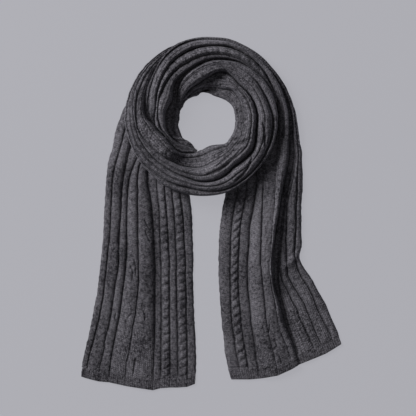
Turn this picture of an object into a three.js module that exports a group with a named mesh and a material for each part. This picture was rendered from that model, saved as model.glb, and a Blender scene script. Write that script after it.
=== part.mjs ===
// A cable-knit scarf laid flat: one and a half turns round a neck opening, with both tails hanging
// down from the ring. Millimetres. The scarf lies on z = 0 and is seen from +Z, with +Y up its length.
import * as THREE from "three";

// ---- driving dimensions -------------------------------------------------------------------------
const RING_X = -8; // centre of the neck opening
const RING_Y = 187;
const OUTLINE_MIDDLE = [1, 0.75]; // the outline's middle before it is moved onto the origin
const SEAM_GAP = 0.5; // clear space between neighbouring pieces of the ring
const HEM_GAP = 0.8; // clear space between a tail and its ribbed border
const TAIL_GAP = 1.4; // clear space where a tail comes out from under the front wrap
const PURL = 2.6; // thickness of the knit in its purl grooves
const RIB = 2.4; // how much thicker its ribs and cables are, before the cloth itself is folded up
const HEM_LENGTH = 19; // length of the ribbed border
const STATION = 7.5; // degrees between two sections of the ring
const TAIL_ROWS = 15; // sections down a tail
const HEM_ROWS = 3;
const ROUNDNESS = 2.3; // exponent of the rounded top of a fold: 2 is an ellipse, more is squarer
const EDGE_TUCK = 4; // how far a ring edge turns in under itself
const TUCK_SHARE = 0.2; // the most of a stretch's width that each edge may turn in
const FOLD_STEPS = [0.13, 0.5, 0.87]; // where a fold of the ring is sampled between its two creases
const RIB_STEPS = [0.22, 0.78]; // the same for the flatter ribs and cables of a tail

const WOOL = { colour: 0x48474c, roughness: 0.95, metalness: 0 };
const WOOL_RIB = { colour: 0x424146, roughness: 0.95, metalness: 0 };

// ---- the ring: creases as [angle, radius], angles anticlockwise from +X --------------------------
// The scarf is wound clockwise. An angle past 180 or below -180 is the same place one turn away.

// Inner edge of the front wrap where it crosses the left side, over the folds that pass below it.
const WRAP_INNER = [
  [-100, 60], [-108, 66], [-120, 77], [-132, 85], [-144, 86], [-156, 89], [-168, 99],
  [-174, 105], [-180, 117], [-187, 124], [-195, 128], [-210, 135], [-225, 144], [-232, 147],
];
// Deep groove between the second fold and the third, from the left side over the top.
const SECOND_GROOVE = [
  [190, 104], [180, 105], [165, 104], [157, 109], [150, 114], [140, 120], [130, 127], [120, 134],
  [110, 139], [100, 144], [90, 147], [75, 151], [60, 151], [45, 150], [30, 146], [20, 143],
  [8, 142.4], [-15, 142.6],
];
// Outer edge of the fourth fold, where it rises out of the ring's inside.
const FOURTH_OUTER = [
  [157, 62], [150, 69], [142, 75], [134, 82], [120, 95], [110, 101], [100, 107], [88, 117],
  [76, 123], [60, 130], [48, 134.5], [36, 138], [24, 141], [12, 142], [0, 141],
];
// Edge of the neck opening.
const OPENING = [
  [255, 58], [240, 56], [228, 56], [216, 60], [204, 58], [190, 58], [172, 55], [150, 55],
  [140, 57], [120, 54], [112, 52], [100, 56], [90, 55], [72, 50], [60, 51], [40, 56], [20, 57],
  [0, 56], [-20, 57], [-40, 59], [-50, 60], [-60, 56], [-70, 52], [-80, 51], [-90, 54], [-100, 60],
];

const FRONT_WRAP = {
  from: 150,
  to: -225,
  // from the outer edge to the inner edge; floor is the height of the crease itself
  creases: [
    {
      radius: [
        ...FOURTH_OUTER.slice(1), [-12, 141], [-36, 142], [-48, 143], [-60, 146], [-72, 149],
        [-84, 151.5], [-104, 154], [-120, 156], [-140, 157], [-160, 160], [-180, 164],
        [-195, 165.5], [-215, 166.5], [-232, 167.5],
      ],
      floor: [[150, 8], [120, 14], [60, 22], [0, 20], [-60, 20], [-90, 22], [-180, 16], [-232, 12]],
    },
    {
      radius: [
        [150, 67], [132, 80], [120, 86], [96, 101], [72, 117], [48, 123], [24, 125], [12, 128],
        [0, 131], [-24, 134], [-48, 138], [-72, 143], [-84, 144], [-108, 142], [-120, 145],
        [-144, 151], [-165, 157], [-180, 160], [-200, 162], [-232, 164],
      ],
      floor: [[150, 13], [90, 40], [40, 42], [20, 38], [-70, 38], [-90, 42], [-150, 44], [-232, 26]],
    },
    {
      radius: [
        [150, 64], [132, 66], [120, 69], [96, 79], [84, 90], [72, 101], [60, 100], [48, 96],
        [36, 97], [12, 100], [-12, 100], [-24, 105], [-36, 110], [-48, 108.5], [-60, 108],
        [-72, 116], [-84, 123], [-96, 125], [-108, 123], [-120, 124], [-144, 131], [-168, 140],
        [-180, 144], [-192, 150], [-200, 154], [-220, 157], [-232, 159],
      ],
      floor: [[150, 12], [84, 20], [60, 24], [0, 28], [-60, 28], [-84, 32], [-110, 40], [-232, 26]],
    },
    {
      radius: [
        [150, 61], [132, 60], [96, 66], [72, 76], [60, 75], [0, 78], [-60, 80], [-84, 88],
        [-108, 98], [-132, 110], [-156, 124], [-172, 138], [-188, 141], [-200, 146], [-220, 150],
        [-232, 152],
      ],
      floor: [[150, 12], [84, 18], [50, 38], [-70, 40], [-105, 26], [-130, 44], [-190, 32], [-232, 26]],
    },
    {
      radius: [...OPENING.filter(([angle]) => angle <= 150 && angle > -96), ...WRAP_INNER],
      floor: [[150, 8], [84, 10], [40, 18], [-40, 20], [-105, 14], [-140, 24], [-180, 26], [-232, 22]],
    },
  ],
  crests: [
    [[150, 15], [120, 36], [90, 44], [0, 42], [-60, 44], [-90, 46], [-150, 46], [-190, 36], [-232, 26]],
    [[150, 15], [120, 38], [90, 46], [0, 47], [-60, 46], [-90, 49], [-150, 50], [-190, 38], [-232, 30]],
    [[150, 14], [84, 20], [50, 42], [0, 44], [-60, 46], [-95, 46], [-130, 50], [-190, 42], [-232, 30]],
    [[150, 13], [84, 18], [50, 34], [0, 38], [-60, 40], [-105, 22], [-135, 46], [-180, 42], [-232, 32]],
  ],
};

const INNER_FOLDS = {
  from: 247.5,
  to: 22.5,
  creases: [
    {
      radius: [
        ...WRAP_INNER.filter(([angle]) => angle <= -108 && angle >= -174)
          .map(([angle, radius]) => [angle + 360, radius]),
        ...SECOND_GROOVE.slice(1),
      ],
      inset: SEAM_GAP,
      floor: [[247.5, 6], [220, 10], [186, 14], [140, 16], [60, 20], [22, 16]],
    },
    {
      radius: [
        [252, 63], [240, 70], [228, 77], [216, 81], [204, 84], [192, 92], [180, 98], [168, 100],
        [156, 105], [144, 108], [132, 112], [120, 116], [108, 120], [96, 126], [84, 131], [72, 134],
        [60, 136], [48, 138], [36, 140.5], [22, 142],
      ],
      floor: [[247.5, 9], [220, 15], [186, 26], [150, 34], [110, 32], [60, 30], [22, 18]],
    },
    {
      radius: [
        [252, 60.5], [240, 64], [228, 69], [216, 73], [204, 77], [192, 82], [168, 83], [157, 81],
        [148, 81], [140, 88], [130, 96], [120, 100], [110, 105], [100, 111], [88, 119.5],
        [76, 125.5], [60, 132.5], [48, 136.5], [36, 139.5], [22, 141.6],
      ],
      floor: [[247.5, 8], [220, 8], [186, 10], [150, 8], [110, 12], [60, 18], [22, 16]],
    },
    {
      radius: [...OPENING.filter(([angle]) => angle >= 165), ...FOURTH_OUTER],
      outset: SEAM_GAP,
      floor: [[247.5, 6], [220, 8], [186, 8], [150, 6], [110, 8], [60, 16], [22, 15]],
    },
  ],
  crests: [
    [[247.5, 11], [220, 18], [186, 32], [150, 40], [110, 42], [60, 38], [22, 20]],
    [[247.5, 11], [220, 16], [186, 30], [150, 34], [110, 34], [60, 30], [22, 19]],
    [[247.5, 10], [220, 13], [186, 14], [150, 10], [110, 12], [60, 18], [22, 17]],
  ],
};

const OUTER_TURN = {
  from: 185,
  to: -12,
  widensAt: 134.6, // past the end of the front wrap it takes in the wrap's outer fold as well
  creases: [
    {
      radius: WRAP_INNER.filter(([angle]) => angle <= -174)
        .map(([angle, radius]) => [angle + 360, radius]),
      widened: [
        [134.6, 167], [110, 168], [80, 168], [60, 166.5], [40, 166.5], [26, 168.5], [16, 171],
        [0, 180], [-12, 190],
      ],
      inset: SEAM_GAP,
      floor: [[185, 12], [135, 16], [127.5, 10], [60, 8], [0, 7], [-12, 6]],
    },
    {
      radius: [[185, 106], [180, 112], [172, 116], [165, 119], [150, 128], [135, 139]],
      widened: [
        [134.6, 151], [120, 154], [110, 158], [100, 161], [80, 162.5], [60, 162], [40, 160.5],
        [26, 160], [16, 161], [0, 167], [-12, 176],
      ],
      floor: [[185, 14], [135, 28], [100, 22], [60, 16], [0, 10], [-12, 9]],
    },
    {
      radius: SECOND_GROOVE,
      outset: SEAM_GAP,
      floor: [[185, 12], [150, 16], [90, 20], [40, 18], [0, 8], [-12, 7]],
    },
  ],
  crests: [
    [[185, 16], [135, 26], [120, 28], [60, 20], [0, 15], [-12, 14]],
    [[185, 16], [165, 32], [120, 40], [60, 34], [20, 26], [0, 20], [-12, 19]],
  ],
};

// ---- the tails: a row per purl groove, from the left edge of the cloth to the right ---------------
// path runs down the groove as [x, y] from the ring to the hem. heights are the top of the cloth in the
// groove at the ring, a third and two thirds down, and at the hem, where it lies flat at PURL. lift is
// how far the rib or cable to the right of the groove stands over it, at the ring and at the hem.
const LEFT_TAIL = [
  {
    path: [
      [-174.5, 202], [-188, 177], [-194, 155], [-204, 107], [-208, 80], [-211, 40], [-214, -1],
      [-217, -61], [-227, -151], [-236, -201], [-247, -253], [-257.5, -305], [-260, -325],
    ],
    heights: [3, 2.6, 2.6, 2.6],
    lift: [4, 2.4],
  },
  {
    path: [
      [-173, 172], [-182, 127], [-194, 79], [-198, 25], [-204, -47], [-213, -151], [-221, -201],
      [-234, -253], [-246, -305], [-248, -329],
    ],
    heights: [9, 7, 4, 2.6],
    lift: [6, 3.2],
  },
  {
    path: [
      [-160, 138], [-172, 87], [-178, 31], [-183, -47], [-192, -151], [-199, -201], [-212, -253],
      [-221, -305], [-225, -335],
    ],
    heights: [10, 8, 4.5, 2.6],
    lift: [4, 2.4],
  },
  {
    path: [
      [-147, 111], [-160, 79], [-168, 25], [-168, -47], [-171.5, -151], [-181.5, -201],
      [-193, -253], [-201, -305], [-204, -337],
    ],
    heights: [4, 3, 2.6, 2.6],
    lift: [7, 4],
  },
  {
    path: [
      [-140, 101], [-146, 39], [-144, -47], [-143.5, -151], [-148, -201], [-159, -253],
      [-168, -305], [-170, -345],
    ],
    heights: [12, 9, 5, 2.6],
    lift: [8, 4],
  },
  {
    path: [
      [-128, 86], [-123, 33], [-115, -47], [-112, -151], [-112, -201], [-113, -253], [-115, -305],
      [-116, -353],
    ],
    heights: [4, 3, 2.6, 2.6],
    lift: [3, 2.4],
  },
  {
    path: [
      [-108, 67], [-104, 21], [-101, -47], [-98.5, -151], [-98, -201], [-99, -253], [-100, -305],
      [-101, -351],
    ],
    heights: [6, 5, 3.5, 2.6],
    lift: [5, 3.2],
  },
  {
    path: [
      [-92, 55], [-89, 11], [-85, -47], [-82, -151], [-82, -253], [-82, -349],
    ],
    heights: [11, 8, 4.5, 2.6],
    lift: [4, 2.4],
  },
  {
    path: [
      [-77, 47], [-73, -1], [-70, -47], [-67.5, -151], [-66, -253], [-66, -349],
    ],
    heights: [11, 8, 4.5, 2.6],
    lift: [5, 3.2],
  },
  {
    path: [
      [-61, 41], [-56, -1], [-53, -47], [-49, -151], [-47.5, -253], [-47, -347],
    ],
    heights: [9, 7, 4, 2.6],
    lift: [4, 2.4],
  },
  {
    path: [
      [-42, 35], [-38, -1], [-36, -47], [-35, -151], [-33, -201], [-31, -253], [-30, -305],
      [-32, -341],
    ],
    heights: [3, 2.6, 2.6, 2.6],
  },
];

const RIGHT_TAIL = [
  {
    path: [
      [29, 39], [25, 15], [19, -19], [16, -55], [14.5, -93], [15, -133], [18, -175], [22, -219],
      [26, -261], [32, -301], [40, -331],
    ],
    heights: [3, 2.6, 2.6, 2.6],
    lift: [4, 2.4],
  },
  {
    path: [
      [50, 50], [46, 9], [42, -19], [39.5, -61], [39.5, -133], [42, -191], [50, -261], [60, -315],
      [64, -333],
    ],
    heights: [9, 7, 4, 2.6],
    lift: [5, 3.2],
  },
  {
    path: [
      [65, 60], [62, 5], [58, -33], [56, -75], [56, -133], [60, -219], [72, -291], [80, -332],
    ],
    heights: [9, 7, 4, 2.6],
    lift: [4, 2.4],
  },
  {
    path: [
      [87, 79], [84, 15], [80, -13], [75, -91], [75, -133], [80, -213], [90, -275], [96, -307],
      [102, -329],
    ],
    heights: [8, 7, 4, 2.6],
    lift: [7, 4],
  },
  {
    path: [
      [104, 98], [102, -13], [99, -73], [101, -117], [110, -203], [124, -273], [132, -323],
    ],
    heights: [15, 14, 9, 4],
    lift: [6, 3],
  },
  {
    path: [
      [119, 120], [127, 17], [121, -53], [118, -89], [122, -153], [134, -213], [142, -243],
      [152, -267], [162, -309],
    ],
    heights: [15, 14, 8, 3.2],
    lift: [3, 2.2],
  },
  {
    path: [
      [127, 140], [140, 27], [134, -13], [123, -77], [122, -129], [136, -173], [153, -233],
      [165, -263], [176, -299],
    ],
    heights: [4, 3, 2.6, 2.6],
    lift: [1.5, 2.2],
  },
  {
    path: [
      [133, 154], [149, 33], [142, -23], [136, -83], [134, -133], [144, -179], [158, -233],
      [168, -263], [180, -297],
    ],
    heights: [5, 4, 3, 2.6],
    lift: [4, 2.4],
  },
  {
    path: [
      [147, 153], [151, 33], [144, -23], [140, -97], [154, -155], [172, -191], [190, -233],
      [206, -269], [210, -285],
    ],
    heights: [10, 7, 4, 2.6],
    lift: [6, 4],
  },
  {
    path: [
      [164, 150], [157, 47], [152, -3], [151, -77], [156, -127], [180, -169], [196, -203],
      [212, -243], [228, -277],
    ],
    heights: [9, 7, 4, 2.6],
    lift: [4, 3],
  },
  {
    path: [
      [171, 149], [172, 47], [170, -33], [167, -77], [182, -127], [201, -159], [218, -201],
      [240, -243], [248, -268],
    ],
    heights: [9, 6, 3.5, 2.6],
    lift: [4, 2.4],
  },
  {
    path: [
      [178, 147], [184, 83], [183, 35], [181, -13], [182, -61], [177, -85], [187, -109],
      [203, -133], [215, -157], [229, -181], [239, -205], [251, -229], [262, -261],
    ],
    heights: [3, 2.6, 2.6, 2.6],
  },
];

// ---- helpers ------------------------------------------------------------------------------------

/** A smooth curve through [key, value] pairs, held level past both ends. */
function curve(pairs) {
  const points = [...pairs].sort((a, b) => a[0] - b[0]);
  const slope = (i) => {
    const before = points[Math.max(i - 1, 0)];
    const after = points[Math.min(i + 1, points.length - 1)];
    return (after[1] - before[1]) / (after[0] - before[0]);
  };
  return (key) => {
    if (key <= points[0][0]) return points[0][1];
    const i = points.findIndex((point) => point[0] >= key) - 1;
    if (i < 0) return points.at(-1)[1];
    const [k0, v0] = points[i];
    const [k1, v1] = points[i + 1];
    const t = (key - k0) / (k1 - k0);
    const rise = v1 - v0 === 0 ? [0, 0] : [slope(i) * (k1 - k0), slope(i + 1) * (k1 - k0)];
    const t2 = t * t;
    const t3 = t2 * t;
    return (2 * t3 - 3 * t2 + 1) * v0 + (t3 - 2 * t2 + t) * rise[0]
      + (3 * t2 - 2 * t3) * v1 + (t3 - t2) * rise[1];
  };
}

/** Share of a fold's lift at t, which runs from 0 at one crease to 1 at the next. */
function foldLift(t) {
  return (1 - Math.abs(2 * t - 1) ** ROUNDNESS) ** (1 / ROUNDNESS);
}

/** The places across a piece: each crease, and the steps inside each fold, as [fold, t]. */
function placesAcross(folds, steps) {
  const places = [];
  for (let fold = 0; fold < folds; fold++) {
    places.push([fold, 0], ...steps.map((t) => [fold, t]));
  }
  places.push([folds - 1, 1]);
  return places;
}

/** Triangles between two chains of points that start together and end together. */
function stripBetween(chainA, chainB) {
  const triangles = [];
  let a = 0;
  let b = 0;
  while (a < chainA.length - 1 || b < chainB.length - 1) {
    const shareA = (a + 1) / (chainA.length - 1);
    const shareB = (b + 1) / (chainB.length - 1);
    if (b === chainB.length - 1 || (a < chainA.length - 1 && shareA <= shareB)) {
      triangles.push([chainA[a], chainA[a + 1], chainB[b]]);
      a += 1;
    } else {
      triangles.push([chainA[a], chainB[b + 1], chainB[b]]);
      b += 1;
    }
  }
  return triangles;
}

/** One closed solid lofted through rows, each with a chain of points on top and a chain below. */
function loft(rows) {
  const points = [];
  const chains = rows.map((row) => {
    const number = (chain) => chain.map((point) => points.push(point) - 1);
    return { top: number(row.top), bottom: number(row.bottom) };
  });
  const triangles = [];
  const quads = (near, far) => {
    for (let i = 0; i < near.length - 1; i++) {
      triangles.push([near[i], near[i + 1], far[i + 1]], [near[i], far[i + 1], far[i]]);
    }
  };
  for (let row = 0; row < chains.length - 1; row++) {
    const here = chains[row];
    const next = chains[row + 1];
    quads(here.top, next.top);
    quads([...here.bottom].reverse(), [...next.bottom].reverse());
    quads([here.bottom[0], here.top[0]], [next.bottom[0], next.top[0]]);
    quads([here.top.at(-1), here.bottom.at(-1)], [next.top.at(-1), next.bottom.at(-1)]);
  }
  const cap = (chain, flip) => {
    const faces = stripBetween(chain.top, chain.bottom);
    triangles.push(...(flip ? faces.map(([a, b, c]) => [a, c, b]) : faces));
  };
  cap(chains[0], true);
  cap(chains.at(-1), false);
  return solidGeometry(points, triangles);
}

/** A geometry whose faces point outwards, whichever way round the rows were given. */
function solidGeometry(points, triangles) {
  const volume = triangles.reduce((sum, [a, b, c]) =>
    sum + points[a].dot(points[b].clone().cross(points[c])), 0);
  const outward = volume < 0 ? triangles.map(([a, b, c]) => [a, c, b]) : triangles;
  const geometry = new THREE.BufferGeometry();
  geometry.setAttribute(
    "position", new THREE.Float32BufferAttribute(points.flatMap((point) => point.toArray()), 3));
  geometry.setIndex(outward.flat());
  return geometry.toNonIndexed();
}

function clothMesh(name, geometry, finish) {
  const material = new THREE.MeshStandardMaterial({
    color: finish.colour,
    roughness: finish.roughness,
    metalness: finish.metalness,
    flatShading: true,
  });
  const mesh = new THREE.Mesh(geometry, material);
  mesh.name = name;
  return mesh;
}

// ---- ring pieces --------------------------------------------------------------------------------

function ringPoint(angle, radius, height) {
  const turn = THREE.MathUtils.degToRad(angle);
  return new THREE.Vector3(
    RING_X + radius * Math.cos(turn), RING_Y + radius * Math.sin(turn), height);
}

/** Angles of a stretch's sections: both ends, each whole station between, and where it widens. */
function stationsOf(stretch) {
  const angles = [stretch.from];
  let station = Math.ceil(stretch.from / STATION) * STATION - STATION;
  while (station > stretch.to + 1) {
    if (station < stretch.from - 1) angles.push(station);
    station -= STATION;
  }
  if (stretch.widensAt) angles.push(stretch.widensAt);
  return [...angles, stretch.to].sort((a, b) => b - a);
}

function ringStretch(stretch) {
  const radii = stretch.creases.map((crease) => {
    const radius = curve(crease.radius);
    const widened = crease.widened ? curve(crease.widened) : radius;
    return (angle) => {
      const along = angle <= stretch.widensAt ? widened : radius;
      return along(angle) - (crease.inset ?? 0) + (crease.outset ?? 0);
    };
  });
  const floors = stretch.creases.map((crease) => curve(crease.floor));
  const crests = stretch.crests.map(curve);
  const places = placesAcross(crests.length, FOLD_STEPS);
  return loft(stationsOf(stretch).map((angle) => {
    const top = places.map(([fold, t]) => {
      const radius = THREE.MathUtils.lerp(radii[fold](angle), radii[fold + 1](angle), t);
      const floor = THREE.MathUtils.lerp(floors[fold](angle), floors[fold + 1](angle), t);
      const lift = Math.max(crests[fold](angle) - floor, 0);
      return ringPoint(angle, radius, floor + lift * foldLift(t));
    });
    const outer = radii[0](angle);
    const inner = radii.at(-1)(angle);
    const tuck = Math.min(EDGE_TUCK, (outer - inner) * TUCK_SHARE);
    const bottom = [outer - tuck, (outer + inner) / 2, inner + tuck]
      .map((radius) => ringPoint(angle, radius, 0));
    return { top, bottom };
  }));
}

// ---- tails --------------------------------------------------------------------------------------

/** A tail's groove as functions of the share of its length, from 0 at the ring to 1 at the hem. */
function groove(row, startGap) {
  const [, topY] = row.path[0];
  const [, hemY] = row.path.at(-1);
  const acrossAt = curve(row.path.map(([x, y]) => [y, x]));
  const heightAt = curve(row.heights.map((height, i) => [i / (row.heights.length - 1), height]));
  return {
    length: topY - startGap - hemY,
    at: (share) => {
      const y = THREE.MathUtils.lerp(topY - startGap, hemY, share);
      return new THREE.Vector3(acrossAt(y), y, heightAt(share));
    },
    liftAt: (share) => THREE.MathUtils.lerp(row.lift?.[0] ?? 0, row.lift?.[1] ?? 0, share),
  };
}

/** A stretch of a tail, between two shares of its length given as functions of a groove's length. */
function tailStretch(table, rows, shareFrom, shareTo) {
  const grooves = table.map((row) => groove(row, TAIL_GAP));
  const places = placesAcross(table.length - 1, RIB_STEPS);
  return loft(Array.from({ length: rows }, (_, i) => {
    const along = i / (rows - 1);
    const shares = grooves.map((line) =>
      THREE.MathUtils.lerp(shareFrom(line.length), shareTo(line.length), along));
    const top = [];
    const bottom = [];
    places.forEach(([rib, t], place) => {
      const left = grooves[rib].at(shares[rib]);
      const right = grooves[rib + 1].at(shares[rib + 1]);
      const lift = grooves[rib].liftAt(shares[rib]) * foldLift(t);
      const point = left.lerp(right, t);
      top.push(new THREE.Vector3(point.x, point.y, point.z + lift));
      const underside = Math.max(point.z + Math.max(lift - RIB, 0) - PURL, 0);
      const kept = place % 2 === 0 || place === places.length - 1;
      if (kept) bottom.push(new THREE.Vector3(point.x, point.y, underside));
    });
    return { top, bottom };
  }));
}

function tailPieces(side, table) {
  const hemStart = (length) => 1 - HEM_LENGTH / length;
  const bodyEnd = (length) => hemStart(length) - HEM_GAP / length;
  return [
    clothMesh(side + "_tail", tailStretch(table, TAIL_ROWS, () => 0, bodyEnd), WOOL),
    clothMesh(side + "_hem", tailStretch(table, HEM_ROWS, hemStart, () => 1), WOOL_RIB),
  ];
}

// ---- the scarf ----------------------------------------------------------------------------------

const scarf = new THREE.Group();
scarf.position.set(-OUTLINE_MIDDLE[0], -OUTLINE_MIDDLE[1], 0);
scarf.add(
  clothMesh("front_wrap", ringStretch(FRONT_WRAP), WOOL),
  clothMesh("inner_folds", ringStretch(INNER_FOLDS), WOOL),
  clothMesh("outer_turn", ringStretch(OUTER_TURN), WOOL),
  ...tailPieces("left", LEFT_TAIL),
  ...tailPieces("right", RIGHT_TAIL),
);

export default scarf;
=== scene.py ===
"""A charcoal cable-knit wool scarf, wound one and a half turns round a neck opening and laid flat.

The folds of the ring and the columns of the knit are laid out in millimetres, as a knitter would chart
them, and each piece is a thin shell of cloth: cables, ribs and folds are in the mesh, and the single
stitches are relief in the wool's material.
"""
import math

import bpy
import numpy as np
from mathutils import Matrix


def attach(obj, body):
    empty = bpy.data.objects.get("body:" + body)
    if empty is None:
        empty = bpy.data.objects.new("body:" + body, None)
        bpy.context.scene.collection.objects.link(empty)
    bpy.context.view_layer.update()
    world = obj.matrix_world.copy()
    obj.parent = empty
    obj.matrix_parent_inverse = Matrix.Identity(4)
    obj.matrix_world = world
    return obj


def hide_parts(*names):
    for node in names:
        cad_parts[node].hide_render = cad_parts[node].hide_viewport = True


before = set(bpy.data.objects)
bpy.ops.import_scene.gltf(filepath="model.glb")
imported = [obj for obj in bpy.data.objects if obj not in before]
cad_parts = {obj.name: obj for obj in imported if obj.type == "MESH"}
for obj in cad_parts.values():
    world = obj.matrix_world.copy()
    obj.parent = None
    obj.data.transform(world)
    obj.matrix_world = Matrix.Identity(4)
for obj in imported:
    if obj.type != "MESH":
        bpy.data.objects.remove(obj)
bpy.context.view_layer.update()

MM = 0.001

# ---- the scarf's own sizes, mm --------------------------------------------------------------------
RING_CENTRE = (-8.0, 187.0)
OUTLINE_SHIFT = (-1.0, -0.75)  # moves the laid-out scarf so that its outline is centred on the origin
CLOTH = 2.6            # thickness of the knit in its purl grooves
RIB_RISE = 2.3         # how far a knit rib stands over the purl groove beside it
ROPE_REPEAT = 17.0     # one twist of a narrow rope cable
PLAIT_REPEAT = 74.0    # one crossing of a wide cable
GROOVE_WIDTH = 2.6     # a single purl stitch between two columns
STITCH_WIDTH = 5.4     # really about 4 by 3 mm, too fine to show: drawn coarser
STITCH_HEIGHT = 4.4
BORDER_LENGTH = 19.0   # the 1x1 ribbed border at each end
BORDER_CLOTH = 2.0     # thickness of the border
BORDER_LAP = 1.0       # the cable knit runs on this far over the top of the border
BORDER_RELIEF = 0.55   # how far its ribs rise, against the ribs of the cable knit
BORDER_RIB = 4.6       # one knit and one purl stitch of the border
FLECK = 2.3256         # pale fibres in the yarn, really under 1 mm, too fine to show: drawn coarser
CLUMP = 5.263          # places where the fleece was carded less evenly
DYE_DRIFT = 71.43      # slow changes in the dye
FUZZ = 1.1111          # loose fibre ends, drawn coarser too
LOFT_HEIGHT = 1.1      # how far a stitch's yarn stands over the hollow between stitches

FOLD_ROUNDNESS = 2.1   # exponent of a fold's round top: 2 is an ellipse, more is squarer
OVER_A_FOLD = 1.3      # cloth across a fold of the ring, against its width seen from above
PLAIN_WIDTH = 3        # a column this narrow is flat
FULL_WIDTH = 10        # and from this wide on it is in full relief
SHADED_DEPTH = 9.0     # painted shade: wool this far below the cloth around it gets the full painted shade, as shade falls there
SHADED_REACH = 7       # points each way that count as around it
BAKE_HALF = 0.48       # the face fills this much of its bake map's width
BAKE_UNDER = 0.51      # and the unseen side starts here
UNDER_EVERY = 4        # the unseen side of the cloth has one point for this many on the face
FLOOR_CLEARANCE = 0.3  # the unseen side stays this far over the floor
THINNEST = 0.4         # and this far under the face
LOWEST_FACE = 0.8      # the face stays this far over the floor
SEED = 11


# ---- curves and unevenness ------------------------------------------------------------------------
def along(pairs):
    """A smooth curve through (place, value) pairs, held level past both ends."""
    pairs = sorted(pairs)
    place = np.array([p for p, _ in pairs], float)
    value = np.array([v for _, v in pairs], float)
    slope = np.gradient(value, place) if len(pairs) > 2 else np.full(
        len(pairs), (value[-1] - value[0]) / (place[-1] - place[0]))
    slope[0] = slope[0] if len(pairs) == 2 else (value[1] - value[0]) / (place[1] - place[0])

    def at(x):
        x = np.clip(np.asarray(x, float), place[0], place[-1])
        i = np.clip(np.searchsorted(place, x, side="right") - 1, 0, len(place) - 2)
        run = place[i + 1] - place[i]
        t = (x - place[i]) / run
        return ((2 * t**3 - 3 * t**2 + 1) * value[i] + (t**3 - 2 * t**2 + t) * slope[i] * run
                + (3 * t**2 - 2 * t**3) * value[i + 1] + (t**3 - t**2) * slope[i + 1] * run)
    return at


def straight(pairs, x):
    """The value at x on straight lines between (place, value) pairs."""
    place, value = zip(*sorted(pairs))
    return np.interp(x, place, value)


def smooth(x):
    x = np.clip(x, 0.0, 1.0)
    return x * x * (3 - 2 * x)


def unevenness(u, v, size, seed):
    """Soft random swells of about this size in mm, between -1 and 1, the same on every run."""
    grid = np.random.default_rng(seed).uniform(-1, 1, (64, 64))
    x, y = u / size, v / size
    i, j = np.floor(x).astype(int), np.floor(y).astype(int)
    fx, fy = smooth(x - i), smooth(y - j)
    near = grid[i % 64, j % 64] * (1 - fx) + grid[(i + 1) % 64, j % 64] * fx
    far = grid[i % 64, (j + 1) % 64] * (1 - fx) + grid[(i + 1) % 64, (j + 1) % 64] * fx
    return near * (1 - fy) + far * fy


# ---- the knit ---------------------------------------------------------------------------------------
def roll(t, squareness=2.3):
    """The round top of a rib or fold, 0 at its edges and 1 in the middle."""
    return np.clip(1 - np.abs(2 * t - 1) ** squareness, 0, 1) ** (1 / squareness)


def rib(t, v):
    """Plain knit wales side by side: round, with a shallow line between the wales."""
    return roll(t) * (0.9 + 0.10 * np.abs(np.sin(2 * math.pi * t)) ** 0.5)


def rope(t, v):
    """A rope cable: slanted lobes that lap over each other, rising to the right."""
    bend = t + 0.09 * np.sin(2 * math.pi * t)
    place = (v / ROPE_REPEAT - 0.6 * bend) % 1.0
    lobe = np.sin(math.pi * place ** 0.8) ** 0.8
    return roll(t, 2.2) * (0.22 + 1.3 * lobe)


def plait(t, v):
    """A wide cable, nearly flat: two broad strands that change places once a repeat."""
    turn = (v / PLAIT_REPEAT) % 1.0
    crossing = smooth(turn / 0.4)
    crease = 0.12 + 0.76 * crossing
    open_part = smooth(turn / 0.12) * smooth((0.56 - turn) / 0.2)
    line = np.exp(-((t - crease) / 0.05) ** 2) * open_part
    middle = np.exp(-((t - 0.5) / 0.04) ** 2) * (1 - open_part) * 0.16
    swell = 0.10 * np.sin(math.pi * np.clip(turn / 0.5, 0, 1)) * np.sin(math.pi * t)
    return roll(t, 2.6) * (0.95 + swell) - 0.42 * line * roll(t, 3.0) - middle


COLUMN_SHAPES = {"rib": rib, "rope": rope, "plait": plait}


def knit_column(kind, t, v, width, cuts=(1.0, 1.0)):
    """Relief of one column between two purl grooves, in ribs' rises; t runs across the column. cuts
    say how clearly the purl groove on each side is cut, from 0, not at all, to 1."""
    if kind == "border":  # fine wales, each with a purl line beside it
        return 0.5 + BORDER_RELIEF * (roll((t * width / BORDER_RIB) % 1.0) - 0.5)
    share = np.clip(GROOVE_WIDTH / 2 / np.maximum(width, 1.0), 0.0, 0.3)
    inner = np.clip((t - share) / (1 - 2 * share), 0, 1)
    shape = COLUMN_SHAPES[kind](inner, v)
    cut = cuts[0] * (1 - t) + cuts[1] * t
    return shape + (1 - cut) * np.maximum(0.85 - shape, 0)


# ---- cloth shells -------------------------------------------------------------------------------------
def strip(chain_a, chain_b):
    """Triangles between two chains of points that run the same way."""
    triangles = []
    a = b = 0
    last_a, last_b = len(chain_a) - 1, len(chain_b) - 1
    while a < last_a or b < last_b:
        if b == last_b or (a < last_a and (a + 1) * last_b <= (b + 1) * last_a):
            triangles.append((chain_a[a], chain_a[a + 1], chain_b[b]))
            a += 1
        else:
            triangles.append((chain_a[a], chain_b[b + 1], chain_b[b]))
            b += 1
    return triangles


def kept(count):
    """Which of a row's points the unseen side keeps, always with the last."""
    picks = list(range(0, count, UNDER_EVERY))
    if picks[-1] != count - 1:
        picks.append(count - 1)
    return np.array(picks)


def grid_faces(numbers):
    """Two triangles for each square of a grid of point numbers."""
    a, b = numbers[:-1, :-1].ravel(), numbers[1:, :-1].ravel()
    c, d = numbers[1:, 1:].ravel(), numbers[:-1, 1:].ravel()
    return np.concatenate([np.stack([a, b, c], 1), np.stack([a, c, d], 1)])


def around(values, reach):
    """The mean of a grid's values over a square of this many points each way."""
    padded = np.pad(values, reach, mode="edge")
    total = np.pad(padded, ((1, 0), (1, 0))).cumsum(0).cumsum(1)
    side = 2 * reach + 1
    return (total[side:, side:] - total[:-side, side:] - total[side:, :-side]
            + total[:-side, :-side]) / side**2


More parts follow.
